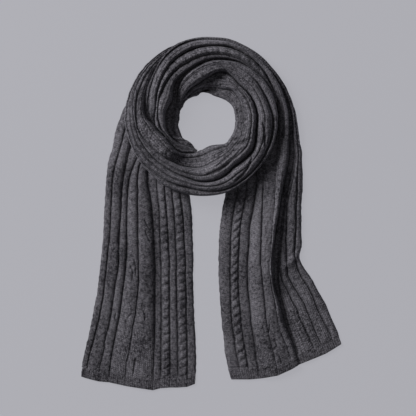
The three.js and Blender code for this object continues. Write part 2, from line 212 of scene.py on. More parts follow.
def underside(face, thickness):
    """The face's points moved in by the cloth's thickness, along the form without its fine relief."""
    rows, columns = kept(face.shape[0]), kept(face.shape[1])
    coarse = face[np.ix_(rows, columns)]
    across = np.gradient(coarse, axis=1)
    down = np.gradient(coarse, axis=0)
    normal = np.cross(across, down)
    normal /= np.maximum(np.linalg.norm(normal, axis=2, keepdims=True), 1e-9)
    if normal[..., 2].mean() < 0:
        normal = -normal
    under = coarse - normal * thickness
    highest = np.maximum(coarse[..., 2] - THINNEST, FLOOR_CLEARANCE)
    under[..., 2] = np.clip(under[..., 2], FLOOR_CLEARANCE, highest)
    return under


def cloth_shell(name, face, knit_uv, painted_shade, thickness=CLOTH):
    """A closed thin shell of cloth from its face: a grid of points in mm, with the knit's own
    coordinates in mm and the painted shade of each point, darker the deeper in a groove it lies."""
    rows, columns = face.shape[:2]
    face = face + (*OUTLINE_SHIFT, 0)
    # painted shade: cloth lying lower than the cloth around it is darkened, as shade falls there
    sunk = np.maximum(around(face[..., 2], SHADED_REACH) - face[..., 2], 0) / SHADED_DEPTH
    painted_shade = np.clip(0.6 * painted_shade + sunk, 0, 1)
    under = underside(face, thickness)
    points = np.concatenate([face.reshape(-1, 3), under.reshape(-1, 3)])
    triangles = shell_triangles(face.shape[:2], under.shape[:2], points)
    mesh = smooth_mesh(name, points, triangles)

    picks = np.ix_(kept(rows), kept(columns))
    corners = triangles.ravel()
    knit = np.concatenate([knit_uv.reshape(-1, 2), knit_uv[picks].reshape(-1, 2)])
    put_uv(mesh, "Knit", knit[corners])
    i, j = np.meshgrid(np.linspace(0, 1, rows), np.linspace(0, 1, columns), indexing="ij")
    spread = np.stack([j * BAKE_HALF, i], 2)
    unseen = spread[picks] + (BAKE_UNDER, 0)
    put_uv(mesh, "OFBake", np.concatenate([spread.reshape(-1, 2), unseen.reshape(-1, 2)])[corners])
    depth = np.concatenate([painted_shade.ravel(), painted_shade[picks].ravel()])
    mesh.attributes.new("painted_shade", "FLOAT", "POINT").data.foreach_set("value", depth.astype(np.float32))
    mesh.validate()

    piece = bpy.data.objects.new(name, mesh)
    bpy.context.scene.collection.objects.link(piece)
    return piece


def shell_triangles(face_shape, under_shape, points):
    """Triangles of a face, its unseen side and the four rims between them, all facing out."""
    face = np.arange(math.prod(face_shape)).reshape(face_shape)
    under = face.size + np.arange(math.prod(under_shape)).reshape(under_shape)
    rims = []
    for edge_face, edge_under in (
            (face[0], under[0]), (face[-1][::-1], under[-1][::-1]),
            (face[:, 0][::-1], under[:, 0][::-1]), (face[:, -1], under[:, -1])):
        rims += strip(list(edge_face), list(edge_under))
    triangles = np.concatenate([grid_faces(face), grid_faces(under)[:, ::-1], np.array(rims)])
    a, b, c = (points[triangles[:, k]] for k in range(3))
    inside_out = np.einsum("ij,ij->", a, np.cross(b, c)) < 0
    return triangles[:, ::-1] if inside_out else triangles


def smooth_mesh(name, points, triangles):
    mesh = bpy.data.meshes.new(name)
    mesh.vertices.add(len(points))
    mesh.vertices.foreach_set("co", (points * MM).astype(np.float32).ravel())
    mesh.loops.add(len(triangles) * 3)
    mesh.loops.foreach_set("vertex_index", triangles.astype(np.int32).ravel())
    mesh.polygons.add(len(triangles))
    mesh.polygons.foreach_set("loop_start", np.arange(0, len(triangles) * 3, 3, dtype=np.int32))
    mesh.polygons.foreach_set("use_smooth", np.ones(len(triangles), dtype=bool))
    mesh.update(calc_edges=True)
    return mesh


def put_uv(mesh, name, values):
    layer = mesh.uv_layers.new(name=name)
    layer.data.foreach_set("uv", values.astype(np.float32).ravel())


# ---- the ring: creases as (angle, radius), angles anticlockwise from +X -----------------------------
# The scarf is wound clockwise. An angle past 180 or below -180 is the same place one turn away.
WRAP_INNER = [
    (-100, 60), (-104, 62), (-108, 66), (-120, 77), (-132, 85), (-144, 86), (-156, 89), (-164, 95),
    (-170, 101), (-174, 105), (-180, 117), (-187, 124), (-195, 128), (-210, 135), (-225, 144),
    (-236, 149), (-250, 151.5), (-266, 151.5)]
SECOND_GROOVE = [
    (190, 104), (180, 105), (165, 104), (157, 109), (150, 114), (140, 120), (130, 127), (120, 134),
    (110, 139), (100, 144), (90, 147), (75, 151), (60, 151), (45, 150), (30, 146), (20, 143),
    (8, 142.4), (-15, 142.6)]
FOURTH_OUTER = [
    (157, 60), (150, 68), (142, 75), (134, 82), (120, 95), (110, 101), (100, 107), (88, 117),
    (76, 123), (60, 130), (48, 134.5), (36, 138), (24, 141), (12, 142), (0, 141)]
OPENING = [
    (255, 68), (252, 65), (246, 60.5), (240, 57), (228, 56), (216, 60), (204, 58), (190, 58),
    (172, 55), (150, 55), (140, 57), (120, 54), (112, 52), (100, 56), (90, 55), (72, 50), (60, 51),
    (40, 56), (20, 57), (0, 56), (-20, 57), (-40, 59), (-50, 60), (-60, 56), (-70, 52), (-80, 51),
    (-90, 54), (-100, 60)]


def turned(pairs, degrees=360):
    return [(angle + degrees, radius) for angle, radius in pairs]


def between(pairs, low, high):
    return [(angle, radius) for angle, radius in pairs if low <= angle <= high]


# A crease is its line, and the height of the cloth in it. A fold lies between two creases: its crest
# height, where its crest lies from its first crease (0) to its second (1), and its columns of knit,
# each as (kind, where it starts, where it ends). clear is how plainly the columns show along the
# stretch. An edge crease's flap is 1 where the edge runs on under its neighbour, and 0 elsewhere.
EVEN = [(-360, 0.5), (360, 0.5)]
ONE_RIB = [("rib", 0.0, 1.0)]
TWO_RIBS = [("rib", 0.0, 0.5), ("rib", 0.5, 1.0)]
HIDDEN = {"crest": [(0, 0), (180, 0)], "lean": EVEN, "columns": ONE_RIB}

FRONT_WRAP = {
    "from": 166, "to": -262,
    "clear": [(-262, 0.2), (-215, 0.55), (-170, 1), (30, 1), (80, 0.35), (166, 0.3)],
    "creases": [
        {"line": [(168, 66), (160, 66)] + between(FOURTH_OUTER, 0, 151) + [
            (-12, 141), (-36, 142), (-48, 143), (-60, 146), (-72, 149), (-84, 151.5), (-104, 154),
            (-120, 156), (-140, 157), (-160, 160), (-180, 164), (-195, 164.5), (-215, 164),
            (-235, 163), (-246, 162.5), (-254, 161), (-266, 156)],
         "flap": [(-16, 0), (-6, 1), (150, 1), (158, 0)],
         "floor": [(166, 2), (152, 4), (120, 10), (60, 14), (0, 10), (-60, 8), (-90, 10), (-180, 10),
                   (-232, 12), (-262, 8)]},
        {"line": [
            (168, 64), (152, 66), (132, 80), (120, 86), (96, 101), (72, 117), (48, 123), (24, 124.5),
            (12, 128), (0, 131), (-24, 134), (-48, 138), (-72, 143.5), (-84, 144), (-108, 141),
            (-120, 145), (-144, 151), (-165, 156), (-180, 158), (-200, 160), (-220, 160), (-240, 159.5),
            (-262, 155)],
         "floor": [(166, 3), (152, 8), (135, 21), (120, 32), (100, 42), (90, 44.5), (45, 44),
                   (30, 36), (10, 29), (-30, 26), (-70, 30), (-90, 41), (-105, 43), (-150, 45),
                   (-170, 40), (-200, 33), (-232, 21), (-262, 8)]},
        {"line": [
            (168, 62), (152, 63), (132, 66), (120, 69), (96, 79), (84, 90), (76, 98), (68, 102),
            (60, 99), (48, 95), (36, 96.5), (12, 100), (-12, 99.5), (-24, 105), (-36, 110),
            (-48, 108.5), (-60, 108), (-72, 116), (-84, 123), (-96, 125), (-108, 123), (-120, 124),
            (-144, 130), (-168, 140), (-180, 144), (-192, 150), (-200, 153.5), (-220, 156),
            (-240, 157), (-262, 154)],
         "floor": [(166, 2), (152, 5), (120, 7), (96, 9), (84, 10), (72, 16), (64, 22), (48, 20),
                   (30, 17), (0, 15), (-40, 12), (-66, 15), (-90, 24), (-110, 38), (-150, 44),
                   (-180, 39), (-200, 34), (-232, 23), (-262, 8)]},
        {"line": [
            (168, 60), (152, 60.5), (132, 61), (120, 62), (96, 66), (84, 66), (72, 67), (60, 70),
            (49, 77), (36, 75.5), (20, 73), (0, 73), (-30, 74), (-60, 77), (-84, 86), (-95, 94),
            (-108, 100), (-132, 110), (-156, 124), (-172, 138), (-188, 143), (-200, 147), (-220, 150.5),
            (-240, 154), (-262, 153)],
         "floor": [(166, 2), (152, 4), (120, 6), (96, 5), (84, 4), (72, 8), (60, 13), (49, 20),
                   (36, 24), (20, 32), (0, 41), (-70, 43), (-88, 36), (-98, 24), (-112, 20),
                   (-124, 28), (-134, 44), (-165, 44), (-190, 37), (-232, 22), (-262, 8)]},
        {"line": [(168, 56), (160, 56)] + between(OPENING, -99, 152) + WRAP_INNER,
         "flap": [(-245, 0), (-225, 1), (-178, 1), (-166, 0)],
         "floor": [(166, 2), (152, 2), (84, 2), (50, 4), (30, 5), (0, 9), (-60, 9), (-85, 7),
                   (-105, 6), (-125, 10), (-150, 16), (-180, 14), (-232, 12), (-262, 8)]}],
    "folds": [
        {"crest": [(166, 4), (152, 9), (135, 23), (120, 34), (100, 43), (90, 45), (40, 45), (0, 41),
                   (-60, 39), (-90, 43), (-150, 45), (-190, 36), (-232, 24), (-262, 9)],
         "lean": [(-20, 0.45), (60, 0.55)], "columns": TWO_RIBS},
        {"crest": [(166, 4), (152, 9), (135, 22), (120, 33), (100, 42), (90, 45), (40, 49), (0, 49),
                   (-60, 46), (-90, 49), (-150, 50), (-190, 38), (-232, 26), (-262, 9)],
         "lean": EVEN, "columns": TWO_RIBS},
        {"crest": [(166, 3), (152, 7), (120, 14), (96, 16), (84, 17), (74, 20), (66, 28), (56, 38),
                   (44, 43), (0, 46), (-60, 47), (-90, 44), (-105, 43), (-130, 50), (-180, 44),
                   (-232, 26), (-262, 9)],
         "lean": [(-360, 0.42), (360, 0.42)], "columns": [("rib", 0.0, 0.4), ("plait", 0.4, 1.0)]},
        {"crest": [(166, 3), (152, 5), (120, 7), (96, 6), (84, 5), (72, 9), (60, 13), (49, 17),
                   (36, 20), (20, 28), (0, 36), (-60, 38), (-84, 34), (-94, 21), (-108, 14),
                   (-122, 17), (-134, 44), (-170, 44), (-190, 38), (-232, 24), (-262, 9)],
         "lean": [(-360, 0.35), (360, 0.35)], "columns": [("plait", 0.0, 0.65), ("rib", 0.65, 1.0)]}]}

INNER_FOLDS = {
    "from": 252, "to": 14, "clear": [(14, 0.5), (60, 0.9), (150, 0.9), (250, 0.8)],
    "creases": [
        {"line": turned(between(WRAP_INNER, -174, -108)) + SECOND_GROOVE[1:],
         "flap": [(0, 1)],
         "floor": [(250, 2), (220, 4), (186, 6), (160, 16), (140, 24), (90, 26), (60, 18), (22, 9),
                   (14, 6)]},
        {"line": [
            (252, 65.8), (240, 69), (228, 77), (216, 81), (204, 84), (192, 92), (180, 98), (168, 100),
            (156, 105), (144, 108), (132, 112), (120, 116), (108, 120), (96, 126), (84, 131),
            (72, 134), (60, 136), (48, 138), (36, 140.5), (22, 142)],
         "floor": [(250, 4), (220, 12), (190, 24), (165, 37), (145, 32), (110, 31), (60, 29), (22, 12)]},
        {"line": [
            (252, 65.4), (240, 63.5), (228, 68), (216, 74), (204, 80), (192, 83), (168, 83), (157, 81),
            (148, 81), (140, 88), (130, 97), (120, 101), (110, 106), (100, 112), (88, 120),
            (76, 126), (60, 133), (48, 136.5), (36, 139.5), (22, 141.6)],
         "floor": [(250, 3), (220, 4), (190, 4), (150, 4), (110, 6), (80, 9), (60, 14), (22, 9)]},
        {"line": between(OPENING, 165, 255) + FOURTH_OUTER[:-1],
         "flap": [(145, 1), (160, 0)],
         "floor": [(250, 2), (220, 2), (186, 2), (150, 2), (110, 3), (60, 9), (22, 7)]}],
    "folds": [
        {"crest": [(250, 8), (220, 15), (200, 24), (186, 34), (160, 42), (110, 42), (60, 38), (22, 18)],
         "lean": [(0, 0.5), (90, 0.62), (250, 0.55)], "columns": [("rope", 0.0, 1.0)]},
        {"crest": [(250, 7), (220, 14), (200, 26), (186, 37), (165, 42), (120, 40), (90, 36),
                   (60, 31), (22, 15)],
         "lean": [(0, 0.35), (90, 0.5), (250, 0.5)],
         "columns": TWO_RIBS},
        {"crest": [(250, 5), (238, 7), (220, 6), (205, 4), (186, 4), (160, 5), (148, 5), (110, 7),
                   (60, 14), (22, 10)],
         "lean": [(0, 0.6), (250, 0.6)], "columns": TWO_RIBS}]}

# The second turn runs on into the right tail, so its creases go from the inner one to the outer one,
# as the tail's grooves go from left to right. The tail's wide cable and a rib lie hidden in the gap
# between its two folds, and come out of it further down.
OUTER_EDGE = turned(between(WRAP_INNER, -226, -174)) + [
    (124, 156), (116, 161), (112, 163), (104, 164.5), (80, 165.2), (60, 164.2), (40, 165),
    (28, 167.6), (20, 170.8), (10, 175.5), (0, 180), (-8, 186), (-15, 193)]
FOLD_GAP = [
    (184.5, 106), (180, 112), (172, 117), (165, 120), (150, 129), (140, 136), (130, 144), (120, 151),
    (110, 156), (100, 159), (80, 161), (60, 161), (40, 160.5), (22, 161.5), (10, 163.5), (0, 165),
    (-8, 167.5), (-15, 170.5)]
GAP_FAR_SIDE = [
    (184.5, 107), (165, 121.5), (150, 130.5), (130, 145.5), (110, 158), (80, 163), (60, 163),
    (40, 163), (22, 165.5), (10, 167.5), (0, 170.5), (-8, 174), (-15, 178.5)]
OUTER_TURN = {
    "from": 184.5, "to": -14, "clear": [(-14, 1), (60, 0.8), (120, 0.7), (184, 0.4)],
    "creases": [
        {"line": SECOND_GROOVE,
         "floor": [(184, 6), (160, 14), (140, 22), (90, 25), (60, 18), (20, 6), (0, 5), (-15, 7)]},
        {"line": FOLD_GAP,
         "floor": [(184, 10), (150, 30), (130, 24), (100, 14), (60, 8), (20, 4), (-15, 3)]},
        {"line": GAP_FAR_SIDE, "floor": [(184, 10), (150, 30), (130, 24), (100, 14), (60, 8), (-15, 3)]},
        {"line": GAP_FAR_SIDE, "aside": 0.05,
         "floor": [(184, 10), (150, 30), (130, 24), (100, 14), (60, 8), (20, 5), (-15, 4)]},
        {"line": GAP_FAR_SIDE, "aside": 0.12,
         "floor": [(184, 10), (150, 30), (130, 25), (100, 16), (60, 10), (20, 7), (-15, 6)]},
        {"line": GAP_FAR_SIDE, "aside": 0.62,
         "floor": [(184, 11), (150, 31), (130, 28), (100, 20), (60, 15), (20, 12), (-15, 9)]},
        {"line": OUTER_EDGE, "floor": [(184, 8), (135, 12), (110, 6), (60, 4), (0, 3), (-15, 3)]}],
    "folds": [
        {"crest": [(184, 14), (165, 34), (120, 41), (60, 35), (20, 27), (0, 23), (-15, 21)],
         "lean": [(0, 0.72), (30, 0.6), (70, 0.42), (170, 0.42)],
         "columns": TWO_RIBS},
        HIDDEN, HIDDEN,
        {"crest": [(184, 11), (150, 31), (100, 17), (60, 11), (-15, 7)],
         "lean": EVEN, "columns": ONE_RIB},
        {"crest": [(184, 12), (150, 33), (130, 30), (100, 23), (60, 18), (0, 14), (-15, 12)],
         "lean": EVEN, "columns": [("rope", 0.0, 1.0)]},
        {"crest": [(184, 12), (150, 32), (130, 27), (100, 20), (60, 16), (0, 12), (-15, 10)],
         "lean": EVEN, "columns": ONE_RIB}]}


def table(columns, rows):
    """Rows as dicts, with the name of each column given once."""
    return [dict(zip(columns.split(), row)) for row in rows]


# Creases and ridges pressed into a fold: a depth in mm (below zero for a ridge), a width in mm
# and a line of (angle, radius).
CREASE_MARGIN = 20     # degrees past a crease's ends that still count as beside it
CREASE_FADE = 4        # degrees over which it fades out
FRONT_CREASES = table("depth width line", [
    (6.0, 2.2, [(-1, 109), (-10, 115), (-18, 121), (-27, 127)]),
    (7.0, 2.2, [(-37, 113), (-44, 121), (-54, 129), (-67, 135)]),
    (3.5, 2.2, [(-58, 97), (-72, 100), (-81, 104), (-92, 111)]),
    (2.5, 2.0, [(-100, 140), (-112, 144), (-126, 147), (-146, 152)]),
    (3.4, 1.6, [(72, 72), (62, 78), (52, 83), (40, 86), (24, 87)]),
    (2.8, 1.5, [(70, 80), (60, 85), (50, 88), (36, 91), (20, 94)]),
    (2.4, 1.4, [(73, 86), (64, 91), (56, 93), (44, 92)]),
    (2.4, 1.8, [(40, 79), (30, 79), (18, 78), (4, 80)]),
    (3.0, 5.0, [(-24, 92), (-32, 86), (-39, 80), (-45, 72)]),
    (5.0, 4.0, [(-30, 72), (-38, 68), (-44, 64)]),
    (4.0, 4.0, [(20, 66), (14, 62), (6, 61)]),
    (4.0, 3.5, [(-22, 64), (-28, 61), (-34, 61)]),
    (2.2, 1.8, [(-46, 82), (-58, 84), (-70, 88), (-80, 96)]),
    (2.0, 1.8, [(-40, 90), (-52, 92), (-64, 94), (-76, 102)]),
    (1.4, 2.6, [(-128, 116), (-136, 109), (-143, 100)]),
    (1.2, 2.8, [(-138, 122), (-147, 114), (-155, 103)]),
    (1.6, 2.8, [(-150, 128), (-159, 119), (-166, 108)]),
    (1.2, 2.6, [(-162, 134), (-171, 125), (-177, 116)]),
    (1.6, 2.2, [(-182, 140), (-190, 137), (-200, 141)]),
    (5.0, 4.5, [(104, 59), (92, 60), (82, 61), (70, 62)]),
    (3.5, 8.0, [(-84, 86), (-94, 82), (-104, 84), (-112, 92)]),
])
INNER_CREASES = table("depth width line", [
    (-6.0, 3.0, [(203, 80), (212, 69), (222, 58), (238, 56)]),
    (-2.5, 3.0, [(178, 76), (170, 70), (164, 62)]),
    (-2.0, 2.6, [(198, 76), (190, 70), (182, 62)]),
])

# How an edge of the ring goes down: mm turned in, and the share of its height that is left there.
SKIRT = [(0.6, 0.78), (1.8, 0.5), (3.6, 0.24), (6.5, 0.06)]
SKIRT_LOWEST = 0.5
SKIRT_STEP = 2.0       # cloth from one of its points to the next
SKIRT_SHADE = 0.7     # painted shade: it lies in the shade of the fold over it


def fold_grid(sides, floors, lift, lean, columns, v, first_u, step, cuts=(1.0, 1.0), clear=1.0):
    """One fold of cloth between two creases, as grids of x, y, z, u, v and painted shade: a row for each
    place along the creases. sides are the creases' x and y, lift is how far the crest stands over
    the floor between them, and clear is how plainly the columns of knit show."""
    width = np.hypot(sides[1][0] - sides[0][0], sides[1][1] - sides[0][1])
    steps = max(int(width.max() / step), 5)
    even = np.linspace(0, 1, steps + 1)
    t = (0.4 * even + 0.6 * (0.5 - 0.5 * np.cos(math.pi * even)))[None, :]
    x, y = (sides[0][i] * (1 - t) + sides[1][i] * t for i in (0, 1))
    floor = floors[0] * (1 - t) + floors[1] * t
    rise = lift(floor)
    bend = t ** (math.log(0.5) / np.log(lean))
    u = np.broadcast_to(first_u + t * width.mean(), x.shape)
    v = np.broadcast_to(v, x.shape)
    relief = np.zeros_like(x)
    groove = np.zeros_like(x)
    for kind, first, last in columns:
        inside = np.broadcast_to((t >= first) & (t <= last), x.shape)
        part = np.broadcast_to(np.clip((t - first) / (last - first), 0, 1), x.shape)
        column_width = width * (last - first)
        shape = knit_column(kind, part, v, column_width, cuts)
        shown = smooth((column_width - PLAIN_WIDTH) / (FULL_WIDTH - PLAIN_WIDTH)) * clear
        relief = np.where(inside, (shape - 0.5) * shown, relief)
        # painted shade: the colour darkens towards the bottom of each purl groove
        groove = np.where(inside, (1 - np.clip(shape, 0, 1)) * shown, groove)
    z = floor + rise * roll(bend, FOLD_ROUNDNESS) + relief * RIB_RISE
    return [x, y, z, u, v, groove], width.mean()


def side_skirt(side, floor, inward, v, u, outwards, flap):
    """The cloth going down along one edge; inward is the unit direction into the fold. Where flap is
    0 it turns under the fold, and where flap is 1 it runs on under the piece beside it."""
    strips = []
    for k, (turned_in, share) in enumerate(SKIRT):
        reach = turned_in * (1 - 2 * flap)
        x, y = side[0] + inward[0] * reach, side[1] + inward[1] * reach
        z = np.maximum(floor * share, SKIRT_LOWEST)
        along_skirt = u + outwards * SKIRT_STEP * (k + 1)
        strips.append([x, y, z] + [
            np.broadcast_to(value, x.shape) for value in (along_skirt, v, SKIRT_SHADE)])
    return strips


def inward_direction(edge, towards):
    run = np.hypot(towards[0] - edge[0], towards[1] - edge[1])
    return [(towards[i] - edge[i]) / np.maximum(run, 1e-6) for i in (0, 1)]


def joined_grids(parts):
    """Grids that lie side by side as one, leaving out each shared column the second time."""
    cut = [part if k == 0 else [values[:, 1:] for values in part] for k, part in enumerate(parts)]
    return [np.concatenate([part[i] for part in cut], 1) for i in range(6)]


def with_skirts(grid, sides, floors, v, flaps=(0.0, 0.0)):
    """Adds the two edges to a grid of folds that are already joined."""
    start, end = sides[0], sides[-1]
    first = side_skirt(start, floors[0], inward_direction(start, sides[1]), v, 0.0, -1, flaps[0])
    last = side_skirt(end, floors[-1], inward_direction(end, sides[-2]), v, grid[3][:, -1:], 1,
                      flaps[1])
    return [np.concatenate([s[i] for s in reversed(first)] + [grid[i]] + [s[i] for s in last], 1)
            for i in range(6)]


def polar(angle, radius):
    turn = np.radians(angle)
    return RING_CENTRE[0] + radius * np.cos(turn), RING_CENTRE[1] + radius * np.sin(turn)


def ring_lines(chart, angle):
    """The creases of a stretch of the ring at these angles: where they run and how high they are."""
    outermost = along(chart["creases"][-1]["line"])(angle)
    radii = []
    for crease in chart["creases"]:
        radius = along(crease["line"])(angle)
        radii.append(radius + crease.get("aside", 0) * (outermost - radius))
    floors = [along(crease["floor"])(angle) for crease in chart["creases"]]
    return radii, floors


def ring_folds(chart, angle, v, step):
    radii, floors = ring_lines(chart, angle)
    sides = [polar(angle, radius) for radius in radii]
    clear = along(chart["clear"])(angle)
    parts, u = [], 0.0
    for k, fold in enumerate(chart["folds"]):
        crest = along(fold["crest"])(angle)
        part, width = fold_grid(
            sides[k:k + 2], floors[k:k + 2], lambda floor: np.maximum(crest - floor, 0),
            along(fold["lean"])(angle), fold["columns"], v, u, step, clear=clear)
        parts.append(part)
        u += OVER_A_FOLD * width
    return parts, sides, floors


def press_creases(grid, creases):
    """Presses a piece's creases and ridges into its grid. Each fades out towards its ends, and its
    angles are read in the same turn as the piece's."""
    x, y, z, _, _, painted_shade = grid
    angle = np.degrees(np.arctan2(y - RING_CENTRE[1], x - RING_CENTRE[0]))
    radius = np.hypot(x - RING_CENTRE[0], y - RING_CENTRE[1])
    for crease in creases:
        first, last = min(crease["line"])[0], max(crease["line"])[0]
        here = np.where((angle < first - CREASE_MARGIN) & (last > 180), angle + 360, angle)
        here = np.where((here > last + CREASE_MARGIN) & (first < -150), here - 360, here)
        fade = smooth((here - first) / CREASE_FADE) * smooth((last - here) / CREASE_FADE)
        mark = np.exp(-((radius - along(crease["line"])(here)) / crease["width"]) ** 2) * fade
        z -= crease["depth"] * mark
        # painted shade: a crease also darkens the colour along it, as shade falls in it
        painted_shade += 0.5 * mark * (crease["depth"] > 0)


def ruffle(grid, seed):
    """The unevenness of a hand-laid scarf: soft swells, small dents and a slightly wavy edge."""
    x, y, z, u, v, painted_shade = grid
    free = smooth(z / 12)
    z += (1.2 * unevenness(u, v, 26, seed) + 0.6 * unevenness(u, v, 8, seed + 1)) * free
    x += 0.7 * unevenness(u * 0.3, v, 28, seed + 2) + 0.6 * unevenness(u * 0.1, v, 4.5, seed + 3)
    y += 0.7 * unevenness(v, u * 0.3, 28, seed + 4)
    np.maximum(z, LOWEST_FACE, out=z)


def ring_piece(name, chart, creases, step_deg, step_mm, seed):
    """One stretch of the ring as a shell of cloth, from its chart of creases and folds."""
    count = int(round((chart["from"] - chart["to"]) / step_deg)) + 1
    angle = np.linspace(chart["from"], chart["to"], count)[:, None]
    radii, _ = ring_lines(chart, angle)
    v = -np.radians(angle) * (radii[0] + radii[-1]).mean() / 2
    parts, sides, floors = ring_folds(chart, angle, v, step_mm)
    flaps = [straight(chart["creases"][k].get("flap", [(0, 0)]), angle) for k in (0, -1)]
    grid = with_skirts(joined_grids(parts), sides, floors, v, flaps)
    press_creases(grid, creases)
    return shell_from(name, grid, seed)


# ---- the tails: a row per purl groove, from the left edge of the cloth to the right ------------------
# path runs down the groove from under the ring to the hem. heights are the cloth in the groove, and
# fold is how far the column to its right is folded up, at the six levels below; lean is where that
# fold's crest lies, knit is its kind of column, and cut is how clearly the groove shows.
LEVELS = [150, 50, -50, -150, -250, -350]
FLAT = [2.8] * len(LEVELS)
UNFOLDED = [0] * len(LEVELS)

LEFT_TAIL = [
    {"path": [(-164, 226), (-174, 211), (-182, 191), (-188, 177), (-194, 155), (-197, 131), (-204, 107),
              (-208, 80), (-211, 40), (-214, -1), (-217, -61), (-222, -109), (-227, -151),
              (-236, -201), (-247, -253), (-257.5, -305), (-260, -325)],
     "heights": [3, 3, 2.8, 2.8, 2.8, 2.8], "fold": [4, 3, 2, 2, 1, 0], "knit": "rib"},
    {"path": [(-160, 200), (-170, 172), (-182, 127), (-194, 79), (-198, 27), (-202, -43), (-206, -83),
              (-213, -151), (-221, -201), (-234, -253), (-246, -305), (-248, -329)],
     "heights": [6, 6, 5, 4, 3, 3], "fold": [6, 6, 5, 3.5, 2, 0.5], "knit": "plait"},
    {"path": [(-154, 160), (-160, 138), (-172, 87), (-179, 31), (-180, -3), (-184, -47), (-184, -93),
              (-192, -151), (-197, -185), (-203, -220), (-212, -253), (-214, -275), (-221, -305),
              (-225, -335)],
     "heights": [4, 4, 4, 3.5, 3, 3], "fold": [3, 3, 5, 4, 2, 0.5], "knit": "rib"},
    {"path": [(-138, 130), (-147, 111), (-160, 79), (-167, 25), (-168, -33), (-168, -73), (-172, -120),
              (-175, -150), (-182, -201), (-193, -253), (-201, -305), (-204, -337)],
     "heights": FLAT, "fold": [7, 8, 8, 6, 3, 1], "knit": "plait"},
    {"path": [(-130, 120), (-140, 101), (-146, 39), (-146, -3), (-145, -73), (-145, -157),
              (-149, -195), (-155, -225), (-160, -255), (-163, -277), (-168, -297), (-169, -345)],
     "heights": [6, 6, 7, 6, 4, 3], "fold": [5, 7, 9, 8, 5, 2], "knit": "plait", "lean": 0.38,
     "cut": 0.7},
    {"path": [(-124, 104), (-127, 70), (-121, 33), (-117, -13), (-115, -47), (-112, -151), (-112, -201),
              (-113, -253), (-115, -305), (-116, -353)],
     "heights": FLAT, "knit": "rib"},
    {"path": [(-108, 85), (-108, 67), (-104, 21), (-101, -47), (-98.5, -151), (-98, -201), (-99, -253),
              (-100, -305), (-101, -349)],
     "heights": FLAT, "fold": [3, 3, 2.5, 2, 1.5, 1], "knit": "rope"},
    {"path": [(-93, 74), (-92, 55), (-89, 11), (-85, -47), (-82, -151), (-82, -253), (-82, -347.5)],
     "heights": [7, 7, 6, 5, 4, 3], "fold": [1.5, 1.5, 1.5, 1, 0.5, 0], "knit": "rib"},
    {"path": [(-78, 66), (-77, 47), (-73, -1), (-70, -47), (-67.5, -151), (-66, -253), (-66, -347.5)],
     "heights": [6, 6, 6, 5, 4, 3], "fold": [3, 3, 2.5, 2, 1.5, 1], "knit": "rope"},
    {"path": [(-62, 60), (-61, 41), (-56, -1), (-53, -47), (-49, -151), (-47.5, -253), (-47, -346)],
     "heights": [6, 6, 5, 4.5, 4, 3], "fold": [3, 3, 2, 1.5, 1, 0.5], "knit": "rib"},
    {"path": [(-44, 54), (-42, 35), (-38, -1), (-36, -47), (-35, -151), (-33, -201), (-31, -253),
              (-30, -305), (-32, -340)],
     "heights": [3, 3, 2.8, 2.8, 2.8, 2.8]},
]

RIGHT_TAIL_LEFT_PART = [
    {"path": [(32, 58), (28, 36), (23, 12), (19, -19), (16, -55), (14.5, -93), (15, -133), (18, -175),
              (22, -219), (26, -261), (32, -301), (40, -331)],
     "heights": [3, 3, 2.8, 2.8, 2.8, 2.8], "fold": [3, 3, 2, 1.5, 1, 0.5], "knit": "rib"},
    {"path": [(56, 70), (51, 33), (45, -3), (40, -53), (39, -93), (39, -143), (41, -193), (46, -243),
              (54, -293), (62, -331)],
     "heights": [4, 4, 4, 4, 3.5, 3], "fold": [3, 3, 2.5, 2, 1.5, 1], "knit": "rope"},
    {"path": [(74, 80), (68, 27), (60, -23), (57, -53), (55, -97), (55, -143), (59, -193), (64, -243),
              (70, -277), (78, -331)],
     "heights": [5, 5, 5, 5, 4, 3], "fold": [3, 3, 2.5, 2, 1, 0.5], "knit": "rib"},
    {"path": [(92, 100), (90, 47), (85, 7), (78, -29), (76, -63), (74, -97), (74, -143), (78, -183),
              (82, -223), (88, -263), (94, -303), (100, -329)],
     "heights": [3, 3, 3, 3, 3, 2.8], "fold": [3, 6, 9, 8, 5, 2], "knit": "plait", "lean": 0.5},
    {"path": [(106, 118), (104, 60), (102, -13), (99, -73), (101, -117), (106, -163), (110, -203),
              (116, -243), (124, -273), (130, -297), (133, -323)],
     "heights": [8, 13, 17, 17, 12, 4], "fold": [3, 3, 3, 3, 2, 1], "knit": "rib", "cut": 0.35},
    {"path": [(127, 168), (130, 150), (131, 127), (130, 87), (128, 47), (127, 17), (124, -13), (121, -53),
              (118, -89), (119, -123), (122, -153), (128, -183), (134, -213), (142, -243),
              (152, -267), (158, -287), (162, -310)],
     "heights": [6, 17, 23, 24, 14, 4], "fold": [17, 15, 14, 13, 7, 2], "knit": "rib", "lean": 0.68,
     "cut": 0.3},
]
